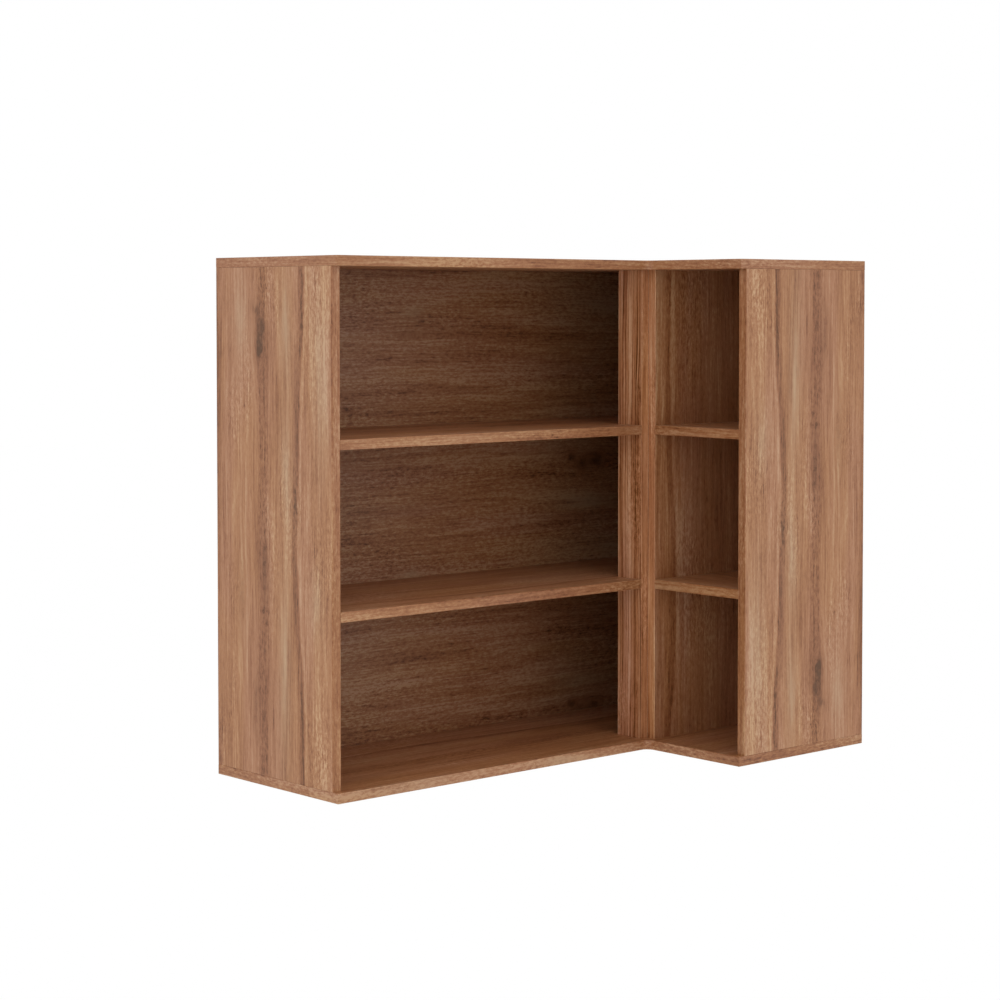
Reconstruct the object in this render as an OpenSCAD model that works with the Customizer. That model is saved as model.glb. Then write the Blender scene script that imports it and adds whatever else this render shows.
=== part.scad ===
// Open corner wall cabinet: an L-shaped case of melamine-faced boards that hangs on two walls.
// The long wall lies behind +Y and the short wall behind +X. The origin is at the middle of
// the floor of the overall box. The left wing opens towards -Y and the right wing towards -X.

/* [Cabinet] */
// Overall height
cabinet_h = 780; // [700:1:900]
// Depth of each wing, from its front edge to the wall behind it
depth = 294; // [260:1:340]
// Front width of the left wing, from its outer side to the inner corner
left_front_w = 626; // [500:1:900]
// Front width of the right wing, from the inner corner to its outer side
right_front_w = 197; // [160:1:400]

/* [Boards] */
// Thickness of the main boards
board_t = 15; // [13:0.5:18]
// Thickness of the back panels
back_t = 3; // [2.5:0.1:5]
// Thickness of the edge bands
band_t = 1; // [0.5:0.1:2]
// How far the top and bottom stand out past the front edges of the upright boards
front_setback = 12; // [5:1:25]
// Width of the narrow stile at the inner corner
corner_stile_w = 53; // [40:1:70]
// Width of the upright post where the two walls meet
corner_post_w = 60; // [40:1:80]
// Height of the upper rear rails, which carry the hangers
hanging_rail_h = 80; // [70:1:110]
// Height of the lower rear rails
lower_rail_h = 60; // [45:1:90]

/* [Shelves] */
// Clear height of the lowest bay
lower_bay_h = 241.5; // [200:0.5:260]
// Clear height of the middle bay
middle_bay_h = 231.5; // [200:0.5:250]
// Play between a fixed shelf and the boards that it doesn't join
shelf_play = 0.2; // [0.1:0.1:0.5]

/* [Back panels] */
// Depth of the grooves that hold the back panels
groove_depth = 6; // [4:0.5:8]
// Play on each face of a back panel in its groove
groove_play = 0.1; // [0.05:0.05:0.3]
// Play between a back panel's edge and the bottom of its groove
groove_end_play = 0.5; // [0.2:0.1:1]

/* [Holes] */
// Play round a fitting in its hole
hole_play = 0.1; // [0.05:0.05:0.2]
// Board left under a blind hole
blind_skin = 4; // [3:0.5:5]

/* [Housing screws] */
// Diameter of the screws that join the top and bottom to the uprights
housing_screw_d = 5; // [4:0.5:6]
// Length of those screws
housing_screw_l = 50; // [40:1:55]
// Diameter of their heads
housing_head_d = 9; // [8:0.5:10]
// Height of their heads
housing_head_h = 3; // [2:0.5:4]
// Size of the hexagon socket, across its corners
socket_d = 4.6; // [3.5:0.1:5]
// Diameter of the cover caps
cap_d = 12; // [11:0.5:14]
// Thickness of the cover caps
cap_t = 1.5; // [1:0.1:2]
// Distance of a screw from the end of the joint
screw_inset = 50; // [35:1:58]

/* [Dowels] */
// Diameter of the wooden dowels
dowel_d = 8; // [6:0.5:8]
// Length of the dowels
dowel_l = 30; // [25:1:35]
// Play at each end of a dowel
dowel_end_play = 0.5; // [0.2:0.1:0.9]
// Distance between the centres of a dowel and its neighbour
fitting_pitch = 32; // [28:1:34]

/* [Shelf fittings] */
// Diameter of the cam locks
cam_d = 15; // [12:0.5:16]
// Height of the cam locks
cam_h = 12; // [10.5:0.5:12]
// Distance of a cam's axis from the joint
cam_reach = 24; // [20:1:34]
// Diameter of a cam bolt's shank
bolt_shank_d = 6; // [5:0.5:6.5]
// Diameter of a cam bolt's neck, inside the cam
bolt_neck_d = 3.5; // [3:0.5:4.5]
// Length of a cam bolt's neck
bolt_neck_l = 3; // [2:0.5:4]
// Length of a cam bolt's head
bolt_head_l = 2.5; // [2:0.5:3]
// Diameter of a cam bolt's thread
bolt_thread_d = 7; // [6.5:0.5:8]
// Distance of a cam bolt from the front or back end of its joint
bolt_inset = 50; // [40:1:60]

/* [Wood screws] */
// Diameter of the wood screws
wood_screw_d = 3.5; // [3:0.5:4]
// Diameter of their countersunk heads
wood_head_d = 7; // [6:0.5:7.5]
// Height of their countersunk heads
wood_head_h = 2; // [1.5:0.1:2]
// Length of the screws through the corner batten
batten_screw_l = 24; // [20:1:25]
// Length of the screws that hold the hangers
hanger_screw_l = 10; // [8:1:11]

/* [Hangers] */
// Length of a hanger plate
hanger_l = 60; // [54:1:66]
// Height of a hanger plate, which has round ends
hanger_h = 26; // [24:1:30]
// Thickness of a hanger plate
hanger_t = 2; // [2:0.1:2.5]
// Diameter of the round part of the keyhole
keyhole_d = 10; // [9:0.5:11]
// Width of the keyhole's slot
keyhole_slot_w = 5; // [4:0.5:6]
// Travel from the round part of the keyhole to the end of its slot
keyhole_travel = 12; // [11:0.5:13]
// Width of the space behind the keyhole for the wall screw's head
head_space_w = 14; // [12:0.5:16]
// Depth of that space behind the plate
head_space_depth = 8; // [6:0.5:8]
// Distance of each hanger screw from the middle of the plate
hanger_screw_offset = 19; // [17:0.5:21]
// Distance of a hanger's middle from the end of its rail
hanger_inset = 110; // [100:1:125]

/* [Hidden] */
$fn = 48;
eps = 0.01;

face_wood = [0.62, 0.46, 0.35];
edge_wood = [0.60, 0.42, 0.29];
back_wood = [0.42, 0.29, 0.21];
raw_wood = [0.80, 0.68, 0.50];
dowel_wood = [0.86, 0.76, 0.58];
steel = [0.70, 0.71, 0.73];
cam_metal = [0.62, 0.62, 0.64];
cap_plastic = [0.55, 0.38, 0.27];

// Plan lines across X: outer side, inner corner, front of the right wing's uprights, front of
// the short back panel, back of it, and wall
x_left = -(left_front_w + depth) / 2;
x_inner = x_left + left_front_w;
x_set = x_inner + front_setback;
x_wall = x_left + left_front_w + depth;
x_rail = x_wall - board_t;
x_back = x_rail - back_t;

// Plan lines across Y, in the same order
y_near = -(right_front_w + depth) / 2;
y_front = y_near + right_front_w;
y_set = y_front + front_setback;
y_wall = y_near + right_front_w + depth;
y_rail = y_wall - board_t;
y_back = y_rail - back_t;
y_post = y_wall - corner_post_w;

// Inner faces of the two outer sides, and the two faces of the boards at the inner corner
x_left_in = x_left + board_t;
y_near_in = y_near + board_t;
x_stile = x_set - board_t;
x_batten = x_set + board_t;
y_divider = y_set - board_t;
y_stile = y_set + corner_stile_w;

// Heights of the undersides of the top and the shelves
z_ceiling = cabinet_h - board_t;
z_lower = board_t + lower_bay_h;
z_upper = z_lower + board_t + middle_bay_h;
z_shelves = [z_lower, z_upper];
z_hanging = z_ceiling - hanging_rail_h;
z_bay_middles = [(board_t + z_lower) / 2, (z_lower + board_t + z_upper) / 2,
    (z_upper + board_t + z_ceiling) / 2];

// Places of the fittings between the top or bottom and each upright, a given inset from each end
function along_x(from, to, inset, y) = [[from + inset, y], [to - inset, y]];
function along_y(from, to, inset, x) = [[x, from + inset], [x, to - inset]];
function side_points(inset) = along_y(y_set, y_wall, inset, x_left + board_t / 2);
function near_points(inset) = along_x(x_set, x_wall, inset, y_near + board_t / 2);
function divider_points(inset) = along_x(x_set, x_back, inset, y_divider + board_t / 2);
function long_rail_points(inset) = along_x(x_left_in, x_rail, inset, y_rail + board_t / 2);
function short_rail_points(inset) = along_y(y_near_in, y_post, inset, x_rail + board_t / 2);
stile_points = [[x_stile + board_t / 2, y_set + corner_stile_w / 2]];
post_points = [[x_rail + board_t / 2, y_post + corner_post_w / 2]];
dowel_inset = screw_inset + fitting_pitch;
case_screws = concat(side_points(screw_inset), near_points(screw_inset),
    divider_points(screw_inset), stile_points, post_points, long_rail_points(screw_inset),
    short_rail_points(screw_inset));
case_dowels = concat(side_points(dowel_inset), near_points(dowel_inset),
    divider_points(dowel_inset));

// Places of the shelf fittings as [x, y, turn]: each starts at the end of a shelf and its
// turned +X points into the board that the shelf meets
function left_end(inset) = [for (y = [y_set + inset, y_back - inset]) [x_left_in, y, 180]];
function near_end(inset) = [for (x = [x_set + inset, x_back - inset]) [x, y_near_in, -90]];
divider_rear = [for (x = [x_set + bolt_inset, x_back - bolt_inset]) [x, y_set, -90]];
divider_front = [for (p = divider_rear) [p.x, y_divider, 90]];
corner_shelf_cams = concat(left_end(bolt_inset), divider_rear);
niche_shelf_cams = concat(near_end(bolt_inset), divider_front);
single_bolts = concat(left_end(bolt_inset), near_end(bolt_inset));
shelf_dowel_places = concat(left_end(bolt_inset + fitting_pitch),
    near_end(bolt_inset + fitting_pitch));

// Depth of a blind hole in a board's face
blind_depth = board_t - blind_skin;
// Height of the rail dowels above and below the middle of a rail
rail_dowel_rise = fitting_pitch / 2;
rail_middles = [board_t + lower_rail_h / 2, z_ceiling - hanging_rail_h / 2];
rail_dowel_heights = [for (z = rail_middles, side = [-1, 1]) z + side * rail_dowel_rise];
hanger_z = z_ceiling - hanging_rail_h / 2;
// Keyhole's round part below the middle of the plate
keyhole_drop = keyhole_travel / 2 - (keyhole_d - keyhole_slot_w) / 4;

// ---- Helpers ----

// Box between two opposite corners
module block(low, high) translate(low) cube(high - low);

// Children drawn along +Z from the outer face inwards, at the top or bottom of the case
module into_top(points)
    for (p = points) translate([p.x, p.y, cabinet_h]) rotate([180, 0, 0]) children();
module into_bottom(points) for (p = points) translate([p.x, p.y, 0]) children();

// Children drawn along +X from the end of a shelf at height z
module at_shelf_end(places, z)
    for (p = places) translate([p.x, p.y, z]) rotate([0, 0, p.z]) children();

// Slot with round ends, centred, along X
module round_slot(l, w, h) {
    translate([-(l - w) / 2, -w / 2, 0]) cube([l - w, w, h]);
    for (side = [-1, 1]) translate([side * (l - w) / 2, 0, 0]) cylinder(d = w, h = h);
}

// ---- Fittings and the holes they leave ----

module housing_screw() {
    tip = housing_screw_d / 2;
    translate([0, 0, cap_t]) difference() {
        union() {
            cylinder(d = housing_head_d, h = housing_head_h);
            cylinder(d = housing_screw_d, h = housing_screw_l - tip);
            translate([0, 0, housing_screw_l - tip])
                cylinder(d1 = housing_screw_d, d2 = tip, h = tip);
        }
        translate([0, 0, -eps]) cylinder(d = socket_d, h = housing_head_h - 1, $fn = 6);
    }
}

module housing_screw_hole() {
    translate([0, 0, -eps]) cylinder(d = cap_d + 2 * hole_play, h = cap_t + eps);
    cylinder(d = housing_head_d + 2 * hole_play, h = cap_t + housing_head_h);
    cylinder(d = housing_screw_d + 2 * hole_play, h = cap_t + housing_screw_l + hole_play);
}

module screw_cap() cylinder(d = cap_d, h = cap_t);

// A dowel starts in a board's face and runs on into the end of the next board
module dowel() translate([0, 0, blind_skin + dowel_end_play]) cylinder(d = dowel_d, h = dowel_l);

module dowel_hole() translate([0, 0, blind_skin])
    cylinder(d = dowel_d + 2 * hole_play, h = dowel_l + 2 * dowel_end_play);

// The same, turned to run into a shelf: from the blind end in the upright back into the shelf
module shelf_dowel(play = 0, end_play = 0)
    translate([blind_depth - dowel_end_play + end_play, 0, board_t / 2]) rotate([0, -90, 0])
        cylinder(d = dowel_d + 2 * play, h = dowel_l + 2 * end_play);

module shelf_dowel_hole() shelf_dowel(hole_play, dowel_end_play);

module cam_lock() difference() {
    translate([-cam_reach, 0, 0]) cylinder(d = cam_d, h = cam_h);
    translate([-cam_reach, 0, board_t / 2]) rotate([0, 90, 0])
        cylinder(d = bolt_shank_d + 2 * hole_play, h = cam_d);
    translate([-cam_reach, 0, -eps]) cylinder(d = socket_d, h = 2, $fn = 6);
}

module cam_lock_hole() {
    translate([-cam_reach, 0, -eps])
        cylinder(d = cam_d + 2 * hole_play, h = cam_h + hole_play + eps);
    translate([-cam_reach, 0, board_t / 2]) rotate([0, 90, 0])
        cylinder(d = bolt_shank_d + 2 * hole_play, h = cam_reach + eps);
}

// Shank, neck and head of a cam bolt, from the joint back to the cam's axis
module bolt_end() translate([0, 0, board_t / 2]) rotate([0, -90, 0]) {
    head_start = cam_reach - bolt_head_l;
    cylinder(d = bolt_shank_d, h = head_start - bolt_neck_l);
    cylinder(d = bolt_neck_d, h = cam_reach);
    translate([0, 0, head_start]) cylinder(d = bolt_shank_d, h = bolt_head_l);
}

module cam_bolt() {
    bolt_end();
    translate([0, 0, board_t / 2]) rotate([0, 90, 0])
        cylinder(d = bolt_thread_d, h = blind_depth - hole_play);
}

module cam_bolt_hole() translate([-eps, 0, board_t / 2]) rotate([0, 90, 0])
    cylinder(d = bolt_thread_d + 2 * hole_play, h = blind_depth + eps);

// Double-ended bolt that joins the shelves on both sides of the divider
module through_bolt() {
    bolt_end();
    translate([-eps, 0, board_t / 2]) rotate([0, 90, 0])
        cylinder(d = bolt_shank_d, h = board_t + 2 * eps);
    translate([board_t, 0, 0]) mirror([1, 0, 0]) bolt_end();
}

module through_bolt_hole() translate([-eps, 0, board_t / 2]) rotate([0, 90, 0])
    cylinder(d = bolt_shank_d + 2 * hole_play, h = board_t + 2 * eps);

module wood_screw(l, play = 0) {
    translate([0, 0, play > 0 ? -eps : 0])
        cylinder(d1 = wood_head_d + 2 * play, d2 = wood_screw_d + 2 * play, h = wood_head_h);
    cylinder(d = wood_screw_d + 2 * play, h = l + play);
}

// ---- Case boards ----

// Top or bottom without its bands: an L with its outer end, fronts and near end cut back
module panel_core(z) translate([0, 0, z]) linear_extrude(board_t)
    polygon([[x_left + band_t, y_front + band_t], [x_inner + band_t, y_front + band_t],
        [x_inner + band_t, y_near + band_t], [x_wall, y_near + band_t],
        [x_wall, y_wall], [x_left + band_t, y_wall]]);

module panel_bands(z) {
    block([x_left, y_front, z], [x_left + band_t, y_wall, z + board_t]);
    block([x_left + band_t, y_front, z], [x_inner + band_t, y_front + band_t, z + board_t]);
    block([x_inner, y_near, z], [x_inner + band_t, y_front, z + board_t]);
    block([x_inner + band_t, y_near, z], [x_wall, y_near + band_t, z + board_t]);
}

// Grooves for both back panels, in the top, the bottom and the outer sides
module back_grooves() {
    z_low = board_t - groove_depth;
    z_high = z_ceiling + groove_depth;
    block([x_left_in - groove_depth, y_back - groove_play, z_low],
        [x_rail + groove_play, y_rail + groove_play, z_high]);
    block([x_back - groove_play, y_near_in - groove_depth, z_low],
        [x_rail + groove_play, y_rail + groove_play, z_high]);
}

module top_panel() color(face_wood) difference() {
    panel_core(z_ceiling);
    back_grooves();
    into_top(case_screws) housing_screw_hole();
    into_top(case_dowels) dowel_hole();
}

module bottom_panel() color(face_wood) difference() {
    panel_core(0);
    back_grooves();
    into_bottom(case_screws) housing_screw_hole();
    into_bottom(case_dowels) dowel_hole();
}

// Holes for the screws and dowels at both ends of an upright
module upright_holes(screws, dowels) {
    into_top(screws) housing_screw_hole();
    into_bottom(screws) housing_screw_hole();
    into_top(dowels) dowel_hole();
    into_bottom(dowels) dowel_hole();
}

module left_side_panel() color(face_wood) difference() {
    block([x_left, y_set + band_t, board_t], [x_left_in, y_wall, z_ceiling]);
    back_grooves();
    upright_holes(side_points(screw_inset), side_points(dowel_inset));
    left_rail_ends() dowel_hole();
    for (z = z_shelves) {
        at_shelf_end(left_end(bolt_inset), z) cam_bolt_hole();
        at_shelf_end(left_end(bolt_inset + fitting_pitch), z) shelf_dowel_hole();
    }
}

module right_side_panel() color(face_wood) difference() {
    block([x_set + band_t, y_near, board_t], [x_wall, y_near_in, z_ceiling]);
    back_grooves();
    upright_holes(near_points(screw_inset), near_points(dowel_inset));
    near_rail_ends() dowel_hole();
    for (z = z_shelves) {
        at_shelf_end(near_end(bolt_inset), z) cam_bolt_hole();
        at_shelf_end(near_end(bolt_inset + fitting_pitch), z) shelf_dowel_hole();
    }
}

module corner_stile() color(face_wood) difference() {
    block([x_stile, y_set + band_t, board_t], [x_set, y_stile, z_ceiling]);
    upright_holes(stile_points, []);
    batten_screw_places() wood_screw(batten_screw_l, hole_play);
}

module niche_divider() color(face_wood) difference() {
    block([x_set + band_t, y_divider, board_t], [x_back, y_set, z_ceiling]);
    upright_holes(divider_points(screw_inset), divider_points(dowel_inset));
    batten_dowel_places() dowel_hole();
    for (z = z_shelves) at_shelf_end(divider_rear, z) through_bolt_hole();
}

// ---- Hidden frame ----

// Block behind the stile and the divider that ties them together at the inner corner
module corner_batten() color(raw_wood) difference() {
    block([x_set, y_set, board_t], [x_batten, y_stile, z_ceiling]);
    batten_screw_places() wood_screw(batten_screw_l, hole_play);
    batten_dowel_places() dowel_hole();
}

module rear_corner_post() color(raw_wood) difference() {
    block([x_rail, y_post, board_t], [x_wall, y_wall, z_ceiling]);
    upright_holes(post_points, []);
    long_rail_corner_ends() dowel_hole();
    short_rail_corner_ends() rail_edge_dowel(hole_play, dowel_end_play);
}

module long_rail(z_low, z_high) block([x_left_in, y_rail, z_low], [x_rail, y_wall, z_high]);
module short_rail(z_low, z_high) block([x_rail, y_near_in, z_low], [x_wall, y_post, z_high]);

module left_hanging_rail() color(raw_wood) difference() {
    long_rail(z_hanging, z_ceiling);
    into_top(long_rail_points(screw_inset)) housing_screw_hole();
    left_rail_ends() dowel_hole();
    long_rail_corner_ends() dowel_hole();
    left_hanger_places() hanger_seat();
}

module right_hanging_rail() color(raw_wood) difference() {
    short_rail(z_hanging, z_ceiling);
    into_top(short_rail_points(screw_inset)) housing_screw_hole();
    near_rail_ends() dowel_hole();
    short_rail_corner_ends() rail_edge_dowel(hole_play, dowel_end_play);
    right_hanger_places() hanger_seat();
}

module left_lower_rail() color(raw_wood) difference() {
    long_rail(board_t, board_t + lower_rail_h);
    into_bottom(long_rail_points(screw_inset)) housing_screw_hole();
    left_rail_ends() dowel_hole();
    long_rail_corner_ends() dowel_hole();
}

module right_lower_rail() color(raw_wood) difference() {
    short_rail(board_t, board_t + lower_rail_h);
    into_bottom(short_rail_points(screw_inset)) housing_screw_hole();
    near_rail_ends() dowel_hole();
    short_rail_corner_ends() rail_edge_dowel(hole_play, dowel_end_play);
}

// ---- Shelves and backs ----

// Shelf of the left wing, which runs on behind the divider and is cut out round the stile
// and its batten
module corner_shelf(z) difference() {
    block([x_left_in, y_set, z], [x_back - shelf_play, y_back - shelf_play, z + board_t]);
    block([x_left_in - eps, y_set - eps, z - eps],
        [x_stile, y_set + band_t, z + board_t + eps]);
    block([x_stile - shelf_play, y_set - eps, z - eps],
        [x_batten + shelf_play, y_stile + shelf_play, z + board_t + eps]);
    at_shelf_end(corner_shelf_cams, z) cam_lock_hole();
    at_shelf_end(left_end(bolt_inset + fitting_pitch), z) shelf_dowel_hole();
}

module niche_shelf(z) difference() {
    block([x_set + band_t, y_near_in, z], [x_back - shelf_play, y_divider, z + board_t]);
    at_shelf_end(niche_shelf_cams, z) cam_lock_hole();
    at_shelf_end(near_end(bolt_inset + fitting_pitch), z) shelf_dowel_hole();
}

module upper_corner_shelf() color(face_wood) corner_shelf(z_upper);
module lower_corner_shelf() color(face_wood) corner_shelf(z_lower);
module upper_niche_shelf() color(face_wood) niche_shelf(z_upper);
module lower_niche_shelf() color(face_wood) niche_shelf(z_lower);

module left_back_panel() color(back_wood)
    block([x_left_in - groove_depth + groove_end_play, y_back,
            board_t - groove_depth + groove_end_play],
        [x_back, y_rail, z_ceiling + groove_depth - groove_end_play]);

module right_back_panel() color(back_wood)
    block([x_back, y_near_in - groove_depth + groove_end_play,
            board_t - groove_depth + groove_end_play],
        [x_rail, y_rail, z_ceiling + groove_depth - groove_end_play]);

// ---- Edge bands ----

module top_edge_bands() color(edge_wood) panel_bands(z_ceiling);
module bottom_edge_bands() color(edge_wood) panel_bands(0);

module left_side_edge_band() color(edge_wood)
    block([x_left, y_set, board_t], [x_left_in, y_set + band_t, z_ceiling]);

module right_side_edge_band() color(edge_wood)
    block([x_set, y_near, board_t], [x_set + band_t, y_near_in, z_ceiling]);

module corner_stile_edge_band() color(edge_wood)
    block([x_stile, y_set, board_t], [x_set, y_set + band_t, z_ceiling]);

module niche_divider_edge_band() color(edge_wood)
    block([x_set, y_divider, board_t], [x_set + band_t, y_set, z_ceiling]);

module corner_shelf_band(z)
    block([x_left_in, y_set, z], [x_stile - shelf_play, y_set + band_t, z + board_t]);

module niche_shelf_band(z)
    block([x_set, y_near_in, z], [x_set + band_t, y_divider, z + board_t]);

module upper_corner_shelf_edge_band() color(edge_wood) corner_shelf_band(z_upper);
module lower_corner_shelf_edge_band() color(edge_wood) corner_shelf_band(z_lower);
module upper_niche_shelf_edge_band() color(edge_wood) niche_shelf_band(z_upper);
module lower_niche_shelf_edge_band() color(edge_wood) niche_shelf_band(z_lower);

// ---- Screws, caps and dowels of the case ----

module top_housing_screws() color(steel) into_top(case_screws) housing_screw();
module bottom_housing_screws() color(steel) into_bottom(case_screws) housing_screw();
module top_screw_caps() color(cap_plastic) into_top(case_screws) screw_cap();
module bottom_screw_caps() color(cap_plastic) into_bottom(case_screws) screw_cap();
module top_dowels() color(dowel_wood) into_top(case_dowels) dowel();
module bottom_dowels() color(dowel_wood) into_bottom(case_dowels) dowel();

// Ends of the rails, each seen from the outer face of the board that it meets
module left_rail_ends() for (z = rail_dowel_heights)
    translate([x_left, y_rail + board_t / 2, z]) rotate([0, 90, 0]) children();
module near_rail_ends() for (z = rail_dowel_heights)
    translate([x_rail + board_t / 2, y_near, z]) rotate([-90, 0, 0]) children();
module long_rail_corner_ends() for (z = rail_dowel_heights)
    translate([x_wall, y_rail + board_t / 2, z]) rotate([0, -90, 0]) children();
module short_rail_corner_ends() for (z = rail_dowel_heights)
    translate([x_rail + board_t / 2, y_post, z]) rotate([-90, 0, 0]) children();

// Dowel in an edge-to-edge joint, half in each board
module rail_edge_dowel(play = 0, end_play = 0) translate([0, 0, -dowel_l / 2 - end_play])
    cylinder(d = dowel_d + 2 * play, h = dowel_l + 2 * end_play);

module rail_dowels() color(dowel_wood) {
    left_rail_ends() dowel();
    near_rail_ends() dowel();
    long_rail_corner_ends() dowel();
    short_rail_corner_ends() rail_edge_dowel();
}

// ---- Inner corner fittings ----

// Screws from the batten into the stile, at the middle of each bay
module batten_screw_places() for (z = z_bay_middles)
    translate([x_batten, y_set + corner_stile_w / 2, z]) rotate([0, -90, 0]) children();

// Dowels from the divider into the batten, one pitch above each screw
module batten_dowel_places() for (z = z_bay_middles)
    translate([x_set + board_t / 2, y_divider, z + fitting_pitch]) rotate([-90, 0, 0])
        children();

module batten_screws() color(steel) batten_screw_places() wood_screw(batten_screw_l);
module batten_dowels() color(dowel_wood) batten_dowel_places() dowel();

// ---- Shelf fittings ----

module shelf_dowels() color(dowel_wood)
    for (z = z_shelves) at_shelf_end(shelf_dowel_places, z) shelf_dowel();

module shelf_cam_locks() color(cam_metal) for (z = z_shelves)
    at_shelf_end(concat(corner_shelf_cams, niche_shelf_cams), z) cam_lock();

module shelf_cam_bolts() color(steel)
    for (z = z_shelves) at_shelf_end(single_bolts, z) cam_bolt();

module divider_through_bolts() color(steel)
    for (z = z_shelves) at_shelf_end(divider_rear, z) through_bolt();

// ---- Hangers ----

// Middle of each hanger on the wall side of its rail, with +Z into the rail and +Y upwards
module left_hanger_places() for (x = [x_left_in + hanger_inset, x_rail - hanger_inset])
    translate([x, y_wall, hanger_z]) rotate([90, 0, 0]) children();
module right_hanger_places() for (y = [y_near_in + hanger_inset, y_post - hanger_inset])
    translate([x_wall, y, hanger_z]) rotate([90, 0, -90]) children();

module keyhole(h) translate([0, -keyhole_drop, 0]) {
    cylinder(d = keyhole_d, h = h);
    translate([-keyhole_slot_w / 2, 0, 0]) cube([keyhole_slot_w, keyhole_travel, h]);
    translate([0, keyhole_travel, 0]) cylinder(d = keyhole_slot_w, h = h);
}

module hanger_screw_places()
    for (side = [-1, 1]) translate([side * hanger_screw_offset, 0, 0]) children();

module hanger_plate() difference() {
    round_slot(hanger_l, hanger_h, hanger_t);
    translate([0, 0, -eps]) keyhole(hanger_t + 2 * eps);
    hanger_screw_places() wood_screw(hanger_screw_l, hole_play);
}

// Shallow seat for the plate, the space behind its keyhole, and the pilot holes
module hanger_seat() {
    translate([0, 0, -eps])
        round_slot(hanger_l + 2 * hole_play, hanger_h + 2 * hole_play, hanger_t + eps);
    translate([0, keyhole_travel / 2 - keyhole_drop, hanger_t - eps]) rotate([0, 0, 90])
        round_slot(head_space_w + keyhole_travel, head_space_w, head_space_depth + eps);
    hanger_screw_places() wood_screw(hanger_screw_l, hole_play);
}

module left_hanger_plates() color(steel) left_hanger_places() hanger_plate();
module right_hanger_plates() color(steel) right_hanger_places() hanger_plate();
module left_hanger_screws() color(steel)
    left_hanger_places() hanger_screw_places() wood_screw(hanger_screw_l);
module right_hanger_screws() color(steel)
    right_hanger_places() hanger_screw_places() wood_screw(hanger_screw_l);

top_panel();
bottom_panel();
left_side_panel();
right_side_panel();
corner_stile();
niche_divider();
corner_batten();
rear_corner_post();
upper_corner_shelf();
lower_corner_shelf();
upper_niche_shelf();
lower_niche_shelf();
left_back_panel();
right_back_panel();
left_hanging_rail();
right_hanging_rail();
left_lower_rail();
right_lower_rail();
top_edge_bands();
bottom_edge_bands();
left_side_edge_band();
right_side_edge_band();
corner_stile_edge_band();
niche_divider_edge_band();
upper_corner_shelf_edge_band();
lower_corner_shelf_edge_band();
upper_niche_shelf_edge_band();
lower_niche_shelf_edge_band();
top_housing_screws();
bottom_housing_screws();
top_screw_caps();
bottom_screw_caps();
top_dowels();
bottom_dowels();
rail_dowels();
shelf_dowels();
batten_dowels();
batten_screws();
shelf_cam_locks();
shelf_cam_bolts();
divider_through_bolts();
left_hanger_plates();
right_hanger_plates();
left_hanger_screws();
right_hanger_screws();
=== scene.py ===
import math
import bmesh
import bpy
from mathutils import Matrix, Vector


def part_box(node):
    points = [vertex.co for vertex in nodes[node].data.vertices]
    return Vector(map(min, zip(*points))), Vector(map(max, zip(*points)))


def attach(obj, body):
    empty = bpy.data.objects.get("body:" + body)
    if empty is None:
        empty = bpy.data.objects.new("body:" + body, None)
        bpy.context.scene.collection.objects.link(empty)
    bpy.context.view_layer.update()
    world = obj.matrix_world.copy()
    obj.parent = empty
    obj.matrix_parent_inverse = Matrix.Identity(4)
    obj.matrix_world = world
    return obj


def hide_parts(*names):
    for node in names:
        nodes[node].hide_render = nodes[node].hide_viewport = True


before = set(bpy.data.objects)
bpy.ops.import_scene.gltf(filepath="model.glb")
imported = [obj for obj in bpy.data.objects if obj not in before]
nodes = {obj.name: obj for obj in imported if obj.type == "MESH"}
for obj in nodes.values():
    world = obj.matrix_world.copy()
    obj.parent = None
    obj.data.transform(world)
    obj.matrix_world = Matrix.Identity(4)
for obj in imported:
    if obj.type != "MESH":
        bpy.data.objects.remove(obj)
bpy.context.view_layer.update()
scene = bpy.context.scene
mm = 0.001
print("cabinet frame loaded:", len(nodes), "pieces")

# Camera in front of the inner corner, about level with the top of the cabinet
view = {
    "eye": (-2.4884, -2.6559, 0.7087),
    "turn": math.radians(-41.874),  # from +Y round to the viewing direction
    "tilt": math.radians(2.315),  # downwards
    "lens": 84.14,
    "sensor": 36,
    "shiftY": -0.10,
}


def makeCamera():
    camera = bpy.data.objects.new("camera", bpy.data.cameras.new("camera"))
    camera.data.lens = view["lens"]
    camera.data.sensor_width = view["sensor"]
    camera.data.shift_y = view["shiftY"]
    camera.location = view["eye"]
    camera.rotation_euler = (math.pi / 2 - view["tilt"], 0, view["turn"])
    scene.collection.objects.link(camera)
    scene.camera = camera


makeCamera()
print("camera placed")


def linear(level):  # a channel as a screen shows it, 0 to 255, as light on the sRGB curve
    share = level / 255
    return share / 12.92 if share <= 0.04045 else ((share + 0.055) / 1.055) ** 2.4


def shade(red, green, blue):
    return tuple(linear(level) for level in (red, green, blue))


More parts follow.
